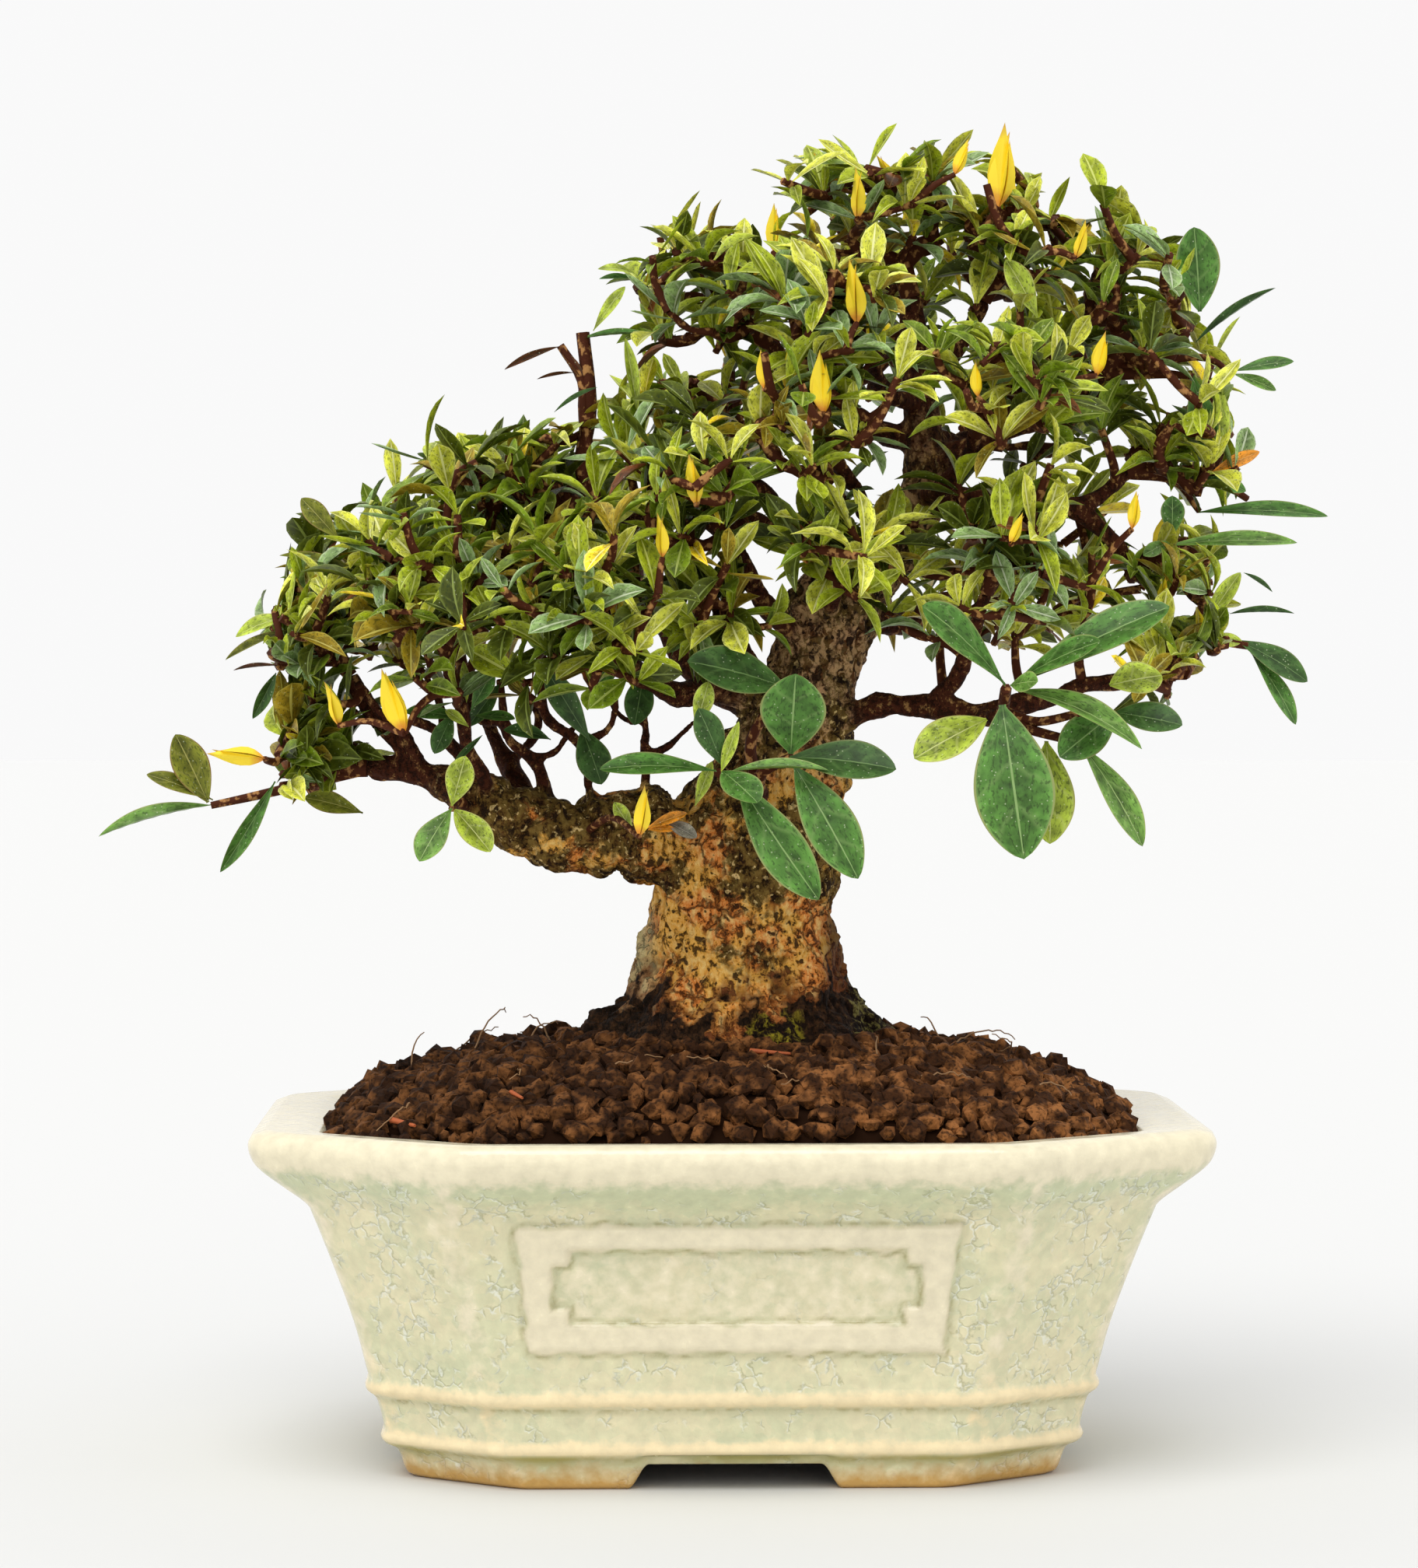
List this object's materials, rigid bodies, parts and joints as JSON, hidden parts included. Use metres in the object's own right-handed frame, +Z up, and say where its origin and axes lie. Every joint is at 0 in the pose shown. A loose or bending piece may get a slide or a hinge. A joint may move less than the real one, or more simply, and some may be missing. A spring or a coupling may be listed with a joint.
{
  "type": "azalea bonsai in a pot",
  "caption": "Small potted azalea bonsai: leaning tapered trunk, spreading boughs with leafy masses, granular soil, eight-sided glazed pot on feet.",
  "frame": {"origin": "middle of the part's box in X and Y, at the level of the pot's feet", "axes": "+Z up; -Y towards the viewer, square to the pot's long front; +X to the viewer's right"},
  "size_m": [0.2136, 0.12, 0.2276],
  "materials": {
    "glaze": "crackled pale celadon glaze",
    "soil": "matt fired clay granules, moist",
    "bark": "rough pitted bark",
    "leaf": "satin leaf"
  },
  "bodies": {
    "root": {"bough_back_centre": "bark", "bough_back_left": "bark", "bough_front_high": "bark", "bough_front_left": "bark", "bough_front_spur": "bark", "bough_left_back": "bark", "bough_left_front": "bark", "bough_left_middle": "bark", "bough_left_outer": "bark", "bough_left_spur": "bark", "bough_left_upper": "bark", "bough_low_back": "bark", "bough_low_front": "bark", "bough_low_left": "bark", "bough_low_right": "bark", "bough_middle_front": "bark", "bough_middle_low": "bark", "bough_right_back": "bark", "bough_right_front": "bark", "bough_right_middle": "bark", "bough_right_outer": "bark", "bough_right_spur": "bark", "bough_right_top": "bark", "bough_top_back": "bark", "bough_top_front": "bark", "bough_top_left": "bark", "bough_top_right": "bark", "foliage_apex": "leaf", "foliage_back_centre": "leaf", "foliage_back_left": "leaf", "foliage_front_high": "leaf", "foliage_front_left": "leaf", "foliage_front_spur": "leaf", "foliage_left_back": "leaf", "foliage_left_front": "leaf", "foliage_left_middle": "leaf", "foliage_left_outer": "leaf", "foliage_left_spur": "leaf", "foliage_left_upper": "leaf", "foliage_low_back": "leaf", "foliage_low_front": "leaf", "foliage_low_left": "leaf", "foliage_low_right": "leaf", "foliage_middle_front": "leaf", "foliage_middle_low": "leaf", "foliage_right_back": "leaf", "foliage_right_front": "leaf", "foliage_right_middle": "leaf", "foliage_right_outer": "leaf", "foliage_right_spur": "leaf", "foliage_right_top": "leaf", "foliage_top_back": "leaf", "foliage_top_front": "leaf", "foliage_top_left": "leaf", "foliage_top_right": "leaf", "pot": "glaze", "soil": "soil", "trunk": "bark"}
  },
  "joints": []
}
